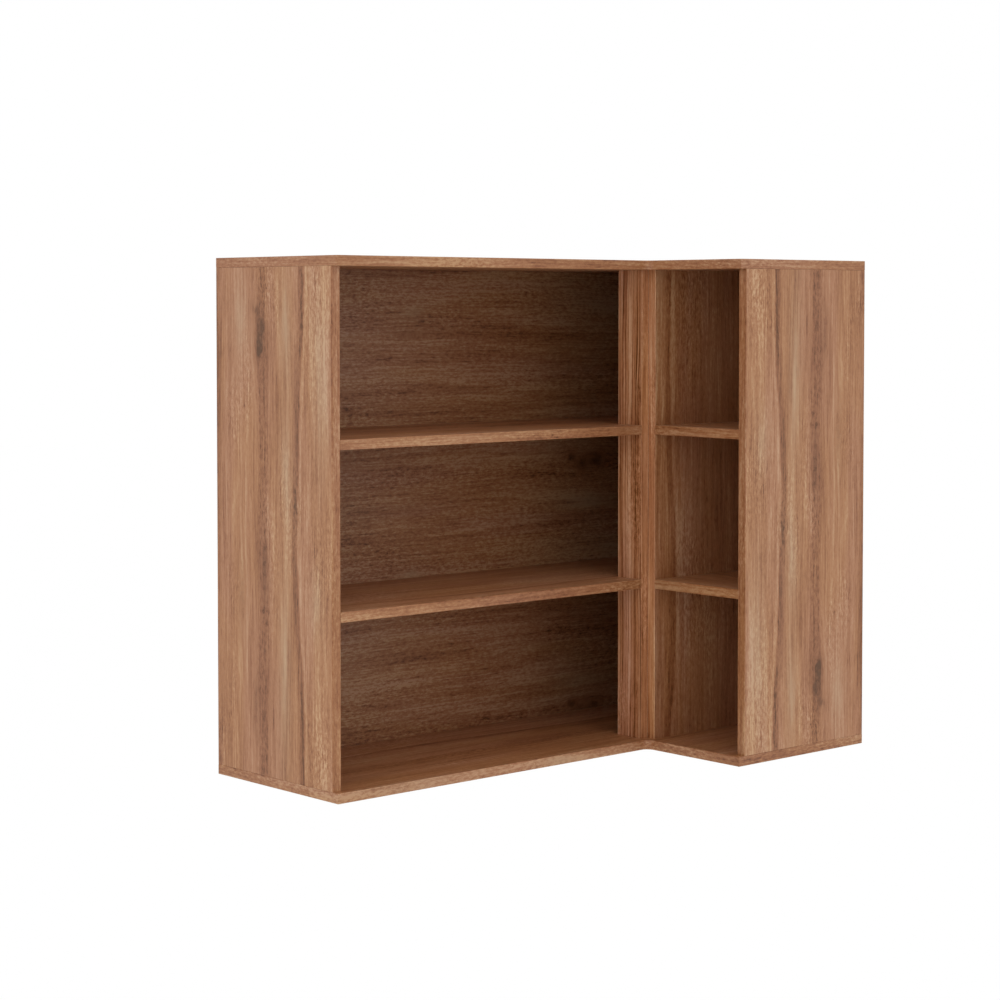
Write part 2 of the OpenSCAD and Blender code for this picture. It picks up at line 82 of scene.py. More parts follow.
# One shader value. Sums, products and so on of wires add their own Math nodes.
class Wire:
    def __init__(self, finish, socket):
        self.finish = finish
        self.socket = socket

    def math(self, operation, *others, clamp=False):
        links = dict(enumerate((self, *others)))
        return self.finish.node("Math", {"operation": operation, "use_clamp": clamp}, links)

    def flipped(self, operation, other):
        return self.finish.node("Math", {"operation": operation}, {0: other, 1: self})

    def __add__(self, other):
        return self.math("ADD", other)

    def __sub__(self, other):
        return self.math("SUBTRACT", other)

    def __rsub__(self, other):
        return self.flipped("SUBTRACT", other)

    def __mul__(self, other):
        return self.math("MULTIPLY", other)

    def __truediv__(self, other):
        return self.math("DIVIDE", other)

    def __rtruediv__(self, other):
        return self.flipped("DIVIDE", other)

    def __pow__(self, other):
        return self.math("POWER", other)

    def __abs__(self):
        return self.math("ABSOLUTE")

    __radd__ = __add__
    __rmul__ = __mul__

    def clamped(self):
        return self.math("ADD", 0, clamp=True)

    def rise(self, low, high):  # 0 at low, 1 at high, smooth between
        upwards = {"Value": self, "From Min": min(low, high), "From Max": max(low, high)}
        grown = self.finish.node("MapRange", {"interpolation_type": "SMOOTHSTEP"}, upwards)
        return grown if high > low else 1 - grown


# One node tree and the one way in which its nodes are added
class Finish:
    def __init__(self, tree, shader=None):
        self.tree = tree
        self.shader = shader

    def node(self, kind, settings, links, output=0):
        made = self.tree.nodes.new("ShaderNode" + kind)
        for name, value in settings.items():
            if name == "stops":
                self.setStops(made.color_ramp, value)
            else:
                setattr(made, name, value)
        for name, value in links.items():
            socket = made.inputs[name] if isinstance(name, int) else next(
                s for s in made.inputs if s.enabled and s.name == name)
            self.setInput(socket, value)
        if output is not None:
            return Wire(self, [s for s in made.outputs if s.enabled][output])

    def setInput(self, socket, value):
        if isinstance(value, Wire):
            self.tree.links.new(value.socket, socket)
        elif socket.type == "RGBA":
            socket.default_value = (*value, 1)
        else:
            socket.default_value = value

    def setStops(self, ramp, stops):
        while len(ramp.elements) < len(stops):
            ramp.elements.new(1)
        for element, (place, colour) in zip(ramp.elements, stops):
            element.position = place
            element.color = (*colour, 1)

    def feed(self, socket, wire):
        self.tree.links.new(wire.socket, self.shader.inputs[socket])

    def vector(self, x, y, z=0.0):
        return self.node("CombineXYZ", {}, {"X": x, "Y": y, "Z": z})

    def vectorMath(self, operation, first, second):
        return self.node("VectorMath", {"operation": operation}, {0: first, 1: second})

    def parts(self, wire):
        split = self.node("SeparateXYZ", {}, {"Vector": wire}).socket.node
        return [Wire(self, socket) for socket in split.outputs]

    def place(self):  # where a point lies, in the cabinet's own frame
        return Wire(self, self.node("TexCoord", {}, {}).socket.node.outputs["Object"])

    def noise(self, at, scale=1.0, detail=2.0, rough=0.5, warp=0.0):
        return self.node("TexNoise", {}, {"Vector": at, "Scale": scale, "Detail": detail,
                                          "Roughness": rough, "Distortion": warp})

    def mix(self, share, first, second, blend="MIX"):
        return self.node("Mix", {"data_type": "RGBA", "blend_type": blend},
                         {"Factor": share, "A": first, "B": second})

    def ramp(self, value, stops):
        return self.node("ValToRGB", {"stops": stops}, {"Fac": value})

    def bump(self, height, depth, strength):
        self.feed("Normal", self.node("Bump", {}, {"Strength": strength, "Distance": depth,
                                                   "Height": height}))


def newFinish(name, **fixed):
    material = bpy.data.materials.new(name)
    material.use_nodes = True
    tree = material.node_tree
    shader = next(n for n in tree.nodes if n.type == "BSDF_PRINCIPLED")
    for socket, value in fixed.items():
        shader.inputs[socket.replace("_", " ")].default_value = value
    return material, Finish(tree, shader)


# Printed decor on the foil and the edge tape, in metres of print: u runs across the grain and
# v along it, and the figure repeats. A spot is (u, v, half width, half length, strength).
# "grained" is a strength that varies with the grain: its plain part and what each layer adds.
# Its rear-edge strip is painted shade, not print.
decor = {
    "repeat": (0.42, 1.15),
    "start": (-0.02, -0.18),  # the repeat begins where the figure is plain
    "knots": [(0.101, 0.062, 0.009, 0.010, 0.40), (0.117, 0.086, 0.008, 0.014, 0.26),
              (0.109, 0.120, 0.011, 0.016, 0.40), (0.109, 0.098, 0.020, 0.048, 0.20),
              (0.121, 0.440, 0.014, 0.090, 0.20), (0.066, 0.490, 0.010, 0.080, 0.24),
              (0.098, 0.650, 0.009, 0.060, 0.24), (0.197, 0.350, 0.008, 0.035, 0.20),
              (0.288, 0.878, 0.004, 0.006, 0.60), (0.310, 0.850, 0.009, 0.050, 0.14)],
    "paleSpots": [(0.060, 0.075, 0.018, 0.060, 0.70), (0.176, 0.090, 0.013, 0.070, 1.25),
                  (0.172, 0.290, 0.013, 0.075, 1.10), (0.254, 0.170, 0.020, 0.130, 0.85),
                  (0.245, 0.480, 0.016, 0.055, 0.80), (0.168, 0.600, 0.014, 0.150, 1.05),
                  (0.274, 0.855, 0.012, 0.030, 0.80)],
    "openSpots": [(0.250, 0.080, 0.035, 0.150, 1.0), (0.250, 0.450, 0.022, 0.060, 0.8),
                  (0.255, 0.720, 0.030, 0.090, 1.0), (0.132, 0.020, 0.022, 0.070, 0.9),
                  (0.126, 0.360, 0.012, 0.060, 0.6)],
    "knotted": {"grained": {"plain": 0.72, "flecks": 3.4, "stripes": 1.3}, "pull": 0.9},
    "paled": {"grained": {"plain": 0.9, "stripes": 2.2, "bands": 1.2}, "light": 0.17},
    "opened": {"spots": 1.3, "heart": 0.35, "patches": 0.8, "light": 0.06,
               "flecks": 1.5, "flecksElsewhere": 0.42},
    # A darker figure with an uneven edge, and short splits along its middle
    "heart": {"at": 0.116, "half": 0.027, "firm": 0.2, "wobble": 0.022, "narrowest": 0.75,
              "swell": 0.9, "grained": {"plain": 0.20, "stripes": 0.7, "bands": 0.5}},
    "slit": {"half": 0.0016, "dark": 0.45},
    # A streak that wavers down the print: soft on one side, sharp on the other. Its cores are
    # (place in the streak, half width, strength), and a pale rim stands beside it.
    "streak": {"at": 0.204, "swing": 0.009, "period": 0.75, "ragged": 0.8, "uneven": 0.012,
               "soft": 0.015, "sharp": 0.003, "grained": {"plain": 0.31, "stripes": 0.5}},
    "cores": [(0.0005, 0.0028, 1.0), (-0.0060, 0.0026, 0.7)],
    "core": {"firm": 0.0004, "dark": 0.16},
    "rim": {"at": 0.0095, "half": 0.0055, "pale": 0.19},
    "rearEdgeShading": {"at": 0.0, "half": 0.013, "dark": 0.24},  # painted shade: darker in a strip along the rear edge of each side panel's outer face
    "thread": {"at": 0.0245, "half": 0.0026, "pale": 0.13},  # a thin pale line beside it
    # Fine upright stripes on the corner stile and a little on some tapes
    "striped": {"light": 0.09, "stripe": 0.7, "edge": (0.070, 0.030), "edgeDark": 0.34,
                "pinstripe": 0.20, "paleStripe": 0.20},
    "light": 0.595,
    "pivot": 0.55,  # contrast turns about this tone
    "shades": [(0.00, shade(87, 48, 0)), (0.18, shade(123, 76, 41)),
               (0.33, shade(144, 95, 61)), (0.45, shade(154, 107, 71)),
               (0.54, shade(162, 114, 79)), (0.63, shade(168, 121, 86)),
               (0.74, shade(174, 130, 96)), (1.00, shade(195, 160, 129))],
    "ochre": shade(255, 243, 218),
    "rose": shade(255, 244, 238),
    "pale": shade(180, 149, 118),
    "smoke": shade(94, 66, 40),
    "hueShare": 0.8,
    "greyShare": 0.55,
    "smokeShare": 0.8,
}

# Layers of grain: cells per metre across and along the print, seed, detail and roughness.
# "marks" turns the noise into marks: none below the first value and whole above the second.
# "light" is what a layer adds to the tone.
grains = {
    "wander": {"cells": (9, 2.2), "seed": 0.3, "detail": 1, "reach": 0.014},
    "swirl": {"cells": (30, 6), "seed": 2.1, "reach": 0.005},
    "raggedAcross": {"cells": (150, 60), "seed": 11.0, "detail": 3, "rough": 0.65,
                     "reach": 0.016},
    "raggedAlong": {"cells": (90, 40), "seed": 17.0, "reach": 0.036},
    "drift": {"cells": (12, 2.4), "seed": 1.7, "light": 0.35},
    "bands": {"cells": (42, 3.2), "seed": 5.3, "detail": 3, "light": 0.66},
    "stripes": {"cells": (150, 4.0), "seed": 9.1, "detail": 3, "rough": 0.6, "light": 0.74},
    "lines": {"cells": (420, 13), "seed": 2.2, "light": 0.62},
    "fibre": {"cells": (1300, 60), "seed": 4.4, "detail": 1, "light": 0.06},
    "strokes": {"cells": (340, 28), "seed": 21.0, "marks": (0.05, 0.19), "light": -0.15},
    "pores": {"cells": (800, 45), "seed": 14.0, "detail": 1, "marks": (0.15, 0.28),
              "light": -0.15},
    "flecks": {"cells": (300, 110), "seed": 8.8, "detail": 3, "rough": 0.75},
    "openPatches": {"cells": (14, 3.5), "seed": 15.0, "marks": (0.04, 0.22)},
    "heartWobble": {"cells": (0, 5.5), "seed": 6.0},
    "heartSwell": {"cells": (0, 4.2), "seed": 8.0},
    "slitLengths": {"cells": (0, 13), "seed": 3.7, "marks": (0.08, 0.16)},
    "streakUneven": {"cells": (0, 9), "seed": 1.2, "detail": 3, "rough": 0.6},
    "coreLengths": {"cells": (260, 13), "seed": 3.3, "detail": 3, "marks": (-0.02, 0.16)},
    "threadLengths": {"cells": (0, 3.2), "seed": 5.0, "marks": (-0.12, 0.10)},
    "hue": {"cells": (22, 2.6), "seed": 12.4, "marks": (-0.12, 0.12)},
    "stripe": {"cells": (150, 0.6), "seed": 31.0, "detail": 1},
    "pinstripe": {"cells": (260, 0.8), "seed": 37.0, "detail": 0, "marks": (0.05, 0.14)},
    "paleStripe": {"cells": (330, 1.2), "seed": 33.0, "detail": 1, "marks": (0.08, 0.17)},
}


def woodPrint(finish, tint=(1, 1, 1), contrast=1.1, figured=1.0, speckled=0.0, striped=0.0,
              paled=1.0):
    u, v, _ = finish.parts(finish.node("UVMap", {"uv_map": "grain"}, {}))

    def grain(name, across=u):  # noise of about -0.3 to 0.3, or marks of 0 to 1
        spec = grains[name]
        perMetre, alongMetre = spec["cells"]
        at = finish.vector(across * perMetre, v * alongMetre, spec["seed"])
        noise = finish.noise(at, detail=spec.get("detail", 2), rough=spec.get("rough", 0.5))
        noise = noise - 0.5
        return noise.rise(*spec["marks"]) if "marks" in spec else noise

    def moved(name):
        return grain(name) * grains[name]["reach"]

    def ridge(away, half, firm=0.0):  # 1 on a line, 0 from half its width outwards
        return abs(away).rise(half, firm)

    wander = moved("wander")
    ragged = finish.vector(moved("raggedAcross"), moved("raggedAlong"))
    start = (*decor["start"], 0)
    whole = (*decor["repeat"], 1)
    place = finish.vectorMath("ADD", finish.vector(u + wander, v), ragged)
    place = finish.vectorMath("SUBTRACT", place, start)
    place = finish.vectorMath("ADD", finish.vectorMath("MODULO", place, whole), start)
    figureU = finish.parts(place)[0]

    def nearSpot(spotU, spotV, halfWide, halfLong):  # 1 in the middle, a quarter at the rim
        away = finish.vectorMath("SUBTRACT", place, (spotU, spotV, 0))
        away = finish.vectorMath("DIVIDE", away, (halfWide, halfLong, 1))
        return (1 / (1 + finish.vectorMath("DOT_PRODUCT", away, away))) ** 2

    def spotted(kind):
        return sum(nearSpot(*spot) * strength for *spot, strength in decor[kind])

    # The lines wander a little, and swing round each knot
    across = u + wander + moved("swirl")
    knotDark = 0
    for *knot, strength in decor["knots"]:
        near = nearSpot(*knot)
        knotDark = near * strength + knotDark
        across = across - (figureU - knot[0]) * near * decor["knotted"]["pull"]
    layers = {name: grain(name, across) for name in
              ("drift", "bands", "stripes", "lines", "fibre", "strokes", "pores", "flecks")}

    def grained(spec):
        added = [layers[name] * share for name, share in spec.items() if name != "plain"]
        return spec["plain"] + sum(added)

    # Heart
    heart = decor["heart"]
    slit = decor["slit"]
    spread = grain("heartSwell") * heart["swell"] + heart["narrowest"]
    fromHeart = figureU - heart["at"] + grain("heartWobble") * heart["wobble"]
    inHeart = ridge(fromHeart / spread, heart["half"], heart["half"] * heart["firm"])
    heartDark = inHeart * grained(heart["grained"]) * figured
    slitDark = ridge(fromHeart, slit["half"]) * grain("slitLengths") * slit["dark"] * figured
    # Streak
    streak = decor["streak"]
    rim = decor["rim"]
    swing = (v * (2 * math.pi / streak["period"])).math("COSINE") * streak["swing"]
    fromStreak = (figureU - finish.parts(ragged)[0] * streak["ragged"] - streak["at"] - swing
                  + grain("streakUneven") * streak["uneven"])
    inStreak = (fromStreak.rise(-streak["soft"], 0.0)
                * fromStreak.rise(streak["sharp"] * 2, streak["sharp"]))
    cores = sum(ridge(fromStreak - at, half, decor["core"]["firm"]) * strength
                for at, half, strength in decor["cores"])
    cores = cores * grain("coreLengths")
    streakDark = (inStreak * grained(streak["grained"]) + cores * decor["core"]["dark"]) * figured
    rimPale = ridge(fromStreak - rim["at"], rim["half"]) * rim["pale"] * figured
    # Painted shade in a strip along the rear edge of each side panel, and a thin pale line of the
    # print beside it
    rearEdgeShading = decor["rearEdgeShading"]
    thread = decor["thread"]
    threadPale = ridge(u - thread["at"], thread["half"]) * grain("threadLengths") * thread["pale"]
    rearEdgePaintedShade = ridge(u - rearEdgeShading["at"], rearEdgeShading["half"]) * rearEdgeShading["dark"]
    # Pale and smoky places, and open grain with short pale and dark flecks
    pale = (spotted("paleSpots") * grained(decor["paled"]["grained"])).clamped() * paled
    knotDark = knotDark * grained(decor["knotted"]["grained"])
    opened = decor["opened"]
    openGrain = (spotted("openSpots") * opened["spots"] + inHeart * opened["heart"] + speckled
                 + grain("openPatches", across) * opened["patches"]).clamped()
    flecked = layers["flecks"] * (openGrain * opened["flecks"] + opened["flecksElsewhere"])

    # The rear-edge strip subtracted here paints shade into the tone; the other terms are print
    tone = (decor["light"] + flecked + openGrain * opened["light"] + pale * decor["paled"]["light"]
            + rimPale + threadPale - rearEdgePaintedShade - heartDark - slitDark - streakDark - knotDark)
    for name, layer in layers.items():
        if "light" in grains[name]:
            tone = tone + layer * grains[name]["light"]
    if striped:
        lined = decor["striped"]
        stripe = grain("stripe", across)
        tone = tone + striped * (lined["light"] + stripe * lined["stripe"]
                                 - ridge(stripe, *lined["edge"]) * lined["edgeDark"]
                                 - grain("pinstripe", across) * lined["pinstripe"]
                                 + grain("paleStripe", across) * lined["paleStripe"])
    tone = decor["pivot"] + (tone - decor["pivot"]) * contrast
    colour = finish.ramp(tone, decor["shades"])
    # Patches lean to ochre or rose, pale places to grey, and knots to smoke
    lean = finish.mix(grain("hue", across), decor["ochre"], decor["rose"])
    leaning = finish.mix(1.0, colour, lean, "MULTIPLY")
    colour = finish.mix(decor["hueShare"], colour, leaning)
    colour = finish.mix(pale * decor["greyShare"], colour, decor["pale"])
    colour = finish.mix((knotDark * decor["smokeShare"]).clamped(), colour, decor["smoke"])
    # The tint multiplies the whole colour: on some finishes it paints in light, on others shade
    finish.feed("Base Color", finish.mix(1.0, colour, tint, "MULTIPLY"))
    return tone, layers["pores"], layers["lines"]


foilLook = {
    "gloss": 0.5,
    "rough": 0.52,
    "poresRougher": 0.10,
    "paleSmoother": 0.08,
    "raisedLines": 0.5,
    "sunkPores": 0.8,
    "relief": 0.05 * mm,
    "strength": 0.6,
}


def foil(name, **look):
    material, finish = newFinish(name, Specular_IOR_Level=foilLook["gloss"])
    tone, pores, lines = woodPrint(finish, **look)
    finish.feed("Roughness", foilLook["rough"] + pores * foilLook["poresRougher"]
                - tone * foilLook["paleSmoother"])
    finish.bump(lines * foilLook["raisedLines"] - pores * foilLook["sunkPores"],
                foilLook["relief"], foilLook["strength"])
    return material


# Bare boards, metals, cap plastic and dowel wood. A noise is its cells per metre, its detail
# and, where given, its roughness and warp. A relief is its depth and its strength.
chipboard = {
    "shader": {"Roughness": 0.9, "Specular_IOR_Level": 0.2},
    "chips": 520,  # per metre
    "fine": (1100, 3),
    "cloudy": (60, 2),
    "light": {"chips": 0.4, "fine": 0.45, "cloudy": 0.15},
    "shades": [(0.15, shade(144, 111, 84)), (0.50, shade(186, 153, 121)),
               (0.85, shade(214, 188, 160))],
    "gap": {"half": 0.06, "dark": 0.6, "shade": shade(98, 74, 52), "depth": 0.10},
    "fineHeight": 0.5,
    "relief": (0.25 * mm, 0.7),
}
fibreboard = {
    "shader": {"Roughness": 0.85, "Specular_IOR_Level": 0.2},
    "cloudy": (9, 4),
    "strands": (420, 5, 0.65, 0.8),
    "specks": (1500, 1),
    "light": {"cloudy": 0.20, "strands": 0.80},
    "shades": [(0.30, shade(112, 82, 59)), (0.50, shade(137, 103, 77)),
               (0.70, shade(162, 127, 98))],
    "speck": {"marks": (0.66, 0.76), "share": 0.5, "shade": shade(84, 60, 42)},
    "relief": (0.12 * mm, 0.6),
}
metals = {
    "steel": {"name": "zincSteel", "tone": (0.72, 0.73, 0.75), "rough": 0.34,
              "grain": (1800, 3), "relief": (0.02 * mm, 0.5)},
    "cam": {"name": "castZinc", "tone": (0.58, 0.58, 0.60), "rough": 0.44,
            "grain": (900, 3), "relief": (0.05 * mm, 0.5)},
}
metalCloud = {
    "noise": (160, 3),
    "marks": (0.3, 0.7),
    "dark": 0.82,
    "roughBy": 0.2,
    "grainRoughBy": 0.1,
}
capPlastic = {
    "shader": {"Specular_IOR_Level": 0.4},
    "grain": (2600, 2),
    "cloud": (90, 2),
    "shades": (shade(150, 108, 80), shade(164, 121, 92)),
    "rough": 0.5,
    "grainRoughBy": 0.2,
    "relief": (0.03 * mm, 0.5),
}
dowelWood = {
    "shader": {"Roughness": 0.7, "Specular_IOR_Level": 0.3},
    "flecks": (700, 3),
    "shades": [(0.35, shade(190, 154, 108)), (0.65, shade(226, 198, 156))],
    "relief": (0.05 * mm, 0.5),
}


def chipboardFinish():
    material, finish = newFinish("chipboard", **chipboard["shader"])
    at = finish.place()
    light = chipboard["light"]
    gap = chipboard["gap"]
    inputs = {"Vector": at, "Scale": chipboard["chips"]}
    chips = finish.node("TexVoronoi", {"feature": "F1"}, inputs, output=1)
    gaps = finish.node("TexVoronoi", {"feature": "DISTANCE_TO_EDGE"}, inputs)
    fine = finish.noise(at, *chipboard["fine"])
    cloudy = finish.noise(at, *chipboard["cloudy"])
    tone = (finish.parts(chips)[0] * light["chips"] + fine * light["fine"]
            + cloudy * light["cloudy"])
    dark = gaps.rise(gap["half"], 0.0) * fine * gap["dark"]
    colour = finish.ramp(tone, chipboard["shades"])
    finish.feed("Base Color", finish.mix(dark, colour, gap["shade"]))
    height = gaps.rise(0.0, gap["depth"]) + fine * chipboard["fineHeight"]
    finish.bump(height, *chipboard["relief"])
    return material


def fibreboardFinish():
    material, finish = newFinish("fibreboard", **fibreboard["shader"])
    at = finish.place()
    light = fibreboard["light"]
    speck = fibreboard["speck"]
    cloudy = finish.noise(at, *fibreboard["cloudy"])
    strands = finish.noise(at, *fibreboard["strands"])
    specks = finish.noise(at, *fibreboard["specks"]).rise(*speck["marks"])
    tone = cloudy * light["cloudy"] + strands * light["strands"]
    colour = finish.ramp(tone, fibreboard["shades"])
    finish.feed("Base Color", finish.mix(specks * speck["share"], colour, speck["shade"]))
    finish.bump(strands, *fibreboard["relief"])
    return material


def metalFinish(spec):
    material, finish = newFinish(spec["name"], Metallic=1.0)
    at = finish.place()
    cloud = finish.noise(at, *metalCloud["noise"])
    grain = finish.noise(at, *spec["grain"])
    dull = tuple(level * metalCloud["dark"] for level in spec["tone"])
    finish.feed("Base Color", finish.mix(cloud.rise(*metalCloud["marks"]), dull, spec["tone"]))
    finish.feed("Roughness", spec["rough"] + (cloud - 0.5) * metalCloud["roughBy"]
                + (grain - 0.5) * metalCloud["grainRoughBy"])
    finish.bump(grain, *spec["relief"])
    return material


def capFinish():
    material, finish = newFinish("capPlastic", **capPlastic["shader"])
    at = finish.place()
    grain = finish.noise(at, *capPlastic["grain"])
    cloud = finish.noise(at, *capPlastic["cloud"])
    finish.feed("Base Color", finish.mix(cloud, *capPlastic["shades"]))
    finish.feed("Roughness", capPlastic["rough"] + (grain - 0.5) * capPlastic["grainRoughBy"])
    finish.bump(grain, *capPlastic["relief"])
    return material


def beechFinish():
    material, finish = newFinish("beech", **dowelWood["shader"])
    flecks = finish.noise(finish.place(), *dowelWood["flecks"])
    finish.feed("Base Color", finish.ramp(flecks, dowelWood["shades"]))
    finish.bump(flecks, *dowelWood["relief"])
    return material


finishes = {
    "foil": foil("foilWood"),
    # The inner foil's tint makes it redder and darker: painted warm bounce light and shade in the
    # bays and niche. Its print has fewer pale spots.
    "inner": foil("innerFoilPaintedBounce", tint=(1.0, 0.94, 0.92), figured=0.8, speckled=0.2, paled=0.3),
    # The back foil's tint darkens it: painted shade at the backs of the bays
    "back": foil("backFoil", tint=(0.74, 0.69, 0.65), contrast=1.25, figured=0.3, speckled=0.6),
    # The striped foil's tint lightens the corner stile: painted light. Its stripes are print.
    "striped": foil("stripedFoilPaintedLight", tint=(1.33, 1.31, 1.46), striped=1.0),
    "tape": foil("edgeTape", tint=(0.87, 0.79, 0.70), contrast=1.2, speckled=0.4),
    # This tape's tint lightens the fronts of the stile and the divider: painted light. Its stripes
    # are print.
    "warmTape": foil("warmTape", tint=(1.21, 1.18, 1.14), striped=0.4),
    "chipboard": chipboardFinish(),
    "fibreboard": fibreboardFinish(),
    "steel": metalFinish(metals["steel"]),
    "cam": metalFinish(metals["cam"]),
    "cap": capFinish(),
    "beech": beechFinish(),
}
print("finishes made:", len(finishes))

# How mesh parts are told apart
tolerance = {
    "weld": 0.001 * mm,  # corners nearer than this are one
    "sliver": 0.002 * mm,
    "touch": 0.01 * mm,  # how near counts as on a plane
    "decimals": 5,  # to which places in metres are rounded
    "flat": math.radians(1),  # faces that turn less than this are one
    "facing": 0.9,  # how squarely a face looks along an axis
    "leaning": 0.5,  # the same with its eased edges
}
shading = {
    "square": 0.9999,  # how squarely a flat face looks along an axis
    "smallest": 100 * mm ** 2,  # a smaller square face belongs to a round
    "sharp": math.radians(50),
}


def pieceName(node):
    first, *others = node.split("_")
    return first + "".join(word.capitalize() for word in others)


def planLines(node, axis):  # the distinct places of a square-cut node along an axis
    places = (v.co[axis] for v in nodes[node].data.vertices)
    return sorted({round(place, tolerance["decimals"]) for place in places})


def mergedCopy(node):  # a CAD node's solids with shared corners and whole flat faces
    bm = bmesh.new()
    bm.from_mesh(nodes[node].data)
    bmesh.ops.remove_doubles(bm, verts=bm.verts, dist=tolerance["weld"])
    bmesh.ops.dissolve_limit(bm, angle_limit=tolerance["flat"], use_dissolve_boundaries=False,
                             verts=bm.verts, edges=bm.edges)
    return bm


def easeEdges(bm, edges, width, steps=2):
    bmesh.ops.bevel(bm, geom=edges, offset=width, affect="EDGES", segments=steps, profile=0.5,
                    material=-1, clamp_overlap=True)


def outerEdges(bm, sharpest, shortest=0.0):  # convex corners that turn at least that far
    return [e for e in bm.edges if e.is_manifold and e.is_convex
            and e.calc_length() > shortest and e.calc_face_angle() > sharpest]


def shadeRounds(bm):  # rounds are shaded smooth, and flat faces and sharp corners stay crisp
    for face in bm.faces:
        square = max(abs(part) for part in face.normal) > shading["square"]
        large = len(face.verts) > 4 or face.calc_area() > shading["smallest"]
        face.smooth = not (square and large)
    for edge in bm.edges:
        edge.smooth = not (edge.is_manifold and edge.calc_face_angle() > shading["sharp"])


def makePiece(bm, node, slots):  # the visible piece that stands for a CAD node
    bm.normal_update()
    shadeRounds(bm)
    name = pieceName(node)
    mesh = bpy.data.meshes.new(name)
    bm.to_mesh(mesh)
    bm.free()
    for key in slots:
        mesh.materials.append(finishes[key])
    piece = bpy.data.objects.new(name, mesh)
    scene.collection.objects.link(piece)
    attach(piece, "root")
    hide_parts(node)


# Boards. "across" and "along" say which way the print runs: an axis and the end it starts
# from, and "printAt" is where on the print the board was cut.
boards = {
    "left_side_panel": {"across": (1, "high"), "along": (2, "high"), "printAt": (0.0, 0.0)},
    "right_side_panel": {"across": (0, "high"), "along": (2, "low"), "printAt": (0.0, 0.0)},
    "corner_stile": {"across": (1, "low"), "along": (2, "low"), "printAt": (2.41, 0.3),
                     "finish": "striped"},
    "niche_divider": {"across": (0, "low"), "along": (2, "low"), "printAt": (2.688, 0.5),
                      "finish": "inner"},
    "corner_batten": {"across": (1, "low"), "along": (2, "low"), "printAt": (3.4, 0.2)},
    "rear_corner_post": {"across": (1, "low"), "along": (2, "low"), "printAt": (3.7, 0.2)},
    "top_panel": {"across": (1, "low"), "along": (0, "low"), "printAt": (5.1, 0.1),
                  "bands": "top_edge_bands"},
    "bottom_panel": {"across": (1, "low"), "along": (0, "low"), "printAt": (6.0, 2.3),
                     "finish": "inner", "bands": "bottom_edge_bands"},
    "upper_corner_shelf": {"across": (1, "low"), "along": (0, "low"), "printAt": (7.0, 0.4),
                           "finish": "inner"},
    "lower_corner_shelf": {"across": (1, "low"), "along": (0, "low"), "printAt": (7.6, 1.9),
                           "finish": "inner"},
    "upper_niche_shelf": {"across": (0, "low"), "along": (1, "low"), "printAt": (8.2, 0.7),
                          "finish": "inner"},
    "lower_niche_shelf": {"across": (0, "low"), "along": (1, "low"), "printAt": (8.7, 1.5),
                          "finish": "inner"},
    "left_hanging_rail": {"across": (2, "low"), "along": (0, "low"), "printAt": (9.3, 0.0)},
    "right_hanging_rail": {"across": (2, "low"), "along": (1, "low"), "printAt": (9.5, 1.2)},
    "left_lower_rail": {"across": (2, "low"), "along": (0, "low"), "printAt": (9.8, 0.5)},
    "right_lower_rail": {"across": (2, "low"), "along": (1, "low"), "printAt": (10.0, 2.0)},
}
boardLook = {
    "arris": 0.35 * mm,  # how far a cut edge is eased
    "backArris": 0.2 * mm,  # the same on a back panel
    "corner": math.radians(80),
    "shortest": 12 * mm,
    "otherFace": (1.37, 0.41),  # the print on the far side of a board
}
innerCorner = {  # of the top and the bottom, where the two wings meet
    "round": 13 * mm,  # at the face of the tape
    "steps": 8,
    "reach": 0.02 * mm,
}


def easeBoard(bm, width):
    easeEdges(bm, outerEdges(bm, boardLook["corner"], boardLook["shortest"]), width)


def roundInnerCorner(bm, corner, radius):
    upright = [e for e in bm.edges
               if all(math.dist(v.co.xy, corner) < innerCorner["reach"] for v in e.verts)]
    easeEdges(bm, upright, radius, innerCorner["steps"])


def layPrint(bm, node, spec, thickAxis):
    low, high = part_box(node)
    grain = bm.loops.layers.uv.new("grain")
    leaning = tolerance["leaning"]

    def fromEnd(at, way):  # how far a point lies from the end that the print starts at
        axis, end = way
        return high[axis] - at[axis] if end == "high" else at[axis] - low[axis]

    for face in bm.faces:
        shift = boardLook["otherFace"] if face.normal[thickAxis] > leaning else (0, 0)
        for loop in face.loops:
            u = fromEnd(loop.vert.co, spec["across"]) + spec["printAt"][0] + shift[0]
            v = fromEnd(loop.vert.co, spec["along"]) + spec["printAt"][1] + shift[1]
            loop[grain].uv = (u, v)


def makeBoard(node, spec):
    bm = mergedCopy(node)
    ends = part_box(node)
    thickAxis = ({0, 1, 2} - {spec["across"][0], spec["along"][0]}).pop()
    for face in bm.faces:  # foil on both faces, and bare chipboard on every cut edge
        middle = face.calc_center_median()[thickAxis]
        onFace = min(abs(middle - end[thickAxis]) for end in ends) < tolerance["touch"]
        level = abs(face.normal[thickAxis]) > tolerance["facing"]
        face.material_index = 0 if onFace and level else 1
    if "bands" in spec:
        x = planLines(spec["bands"], 0)
        y = planLines(spec["bands"], 1)
        roundInnerCorner(bm, (x[3], y[3]), innerCorner["round"] + x[3] - x[2])
    easeBoard(bm, boardLook["arris"])
    layPrint(bm, node, spec, thickAxis)
    makePiece(bm, node, [spec.get("finish", "foil"), "chipboard"])


for node, spec in boards.items():
    makeBoard(node, spec)
print("boards made:", len(boards))

# Thin back panels: printed in front, bare fibreboard behind
backs = {
    "left_back_panel": {"across": (2, "high"), "along": (0, "low"), "thick": 1,
                        "printAt": (10.70, 0.50)},
    "right_back_panel": {"across": (2, "high"), "along": (1, "low"), "thick": 0,
                         "printAt": (12.0, 1.2)},
}


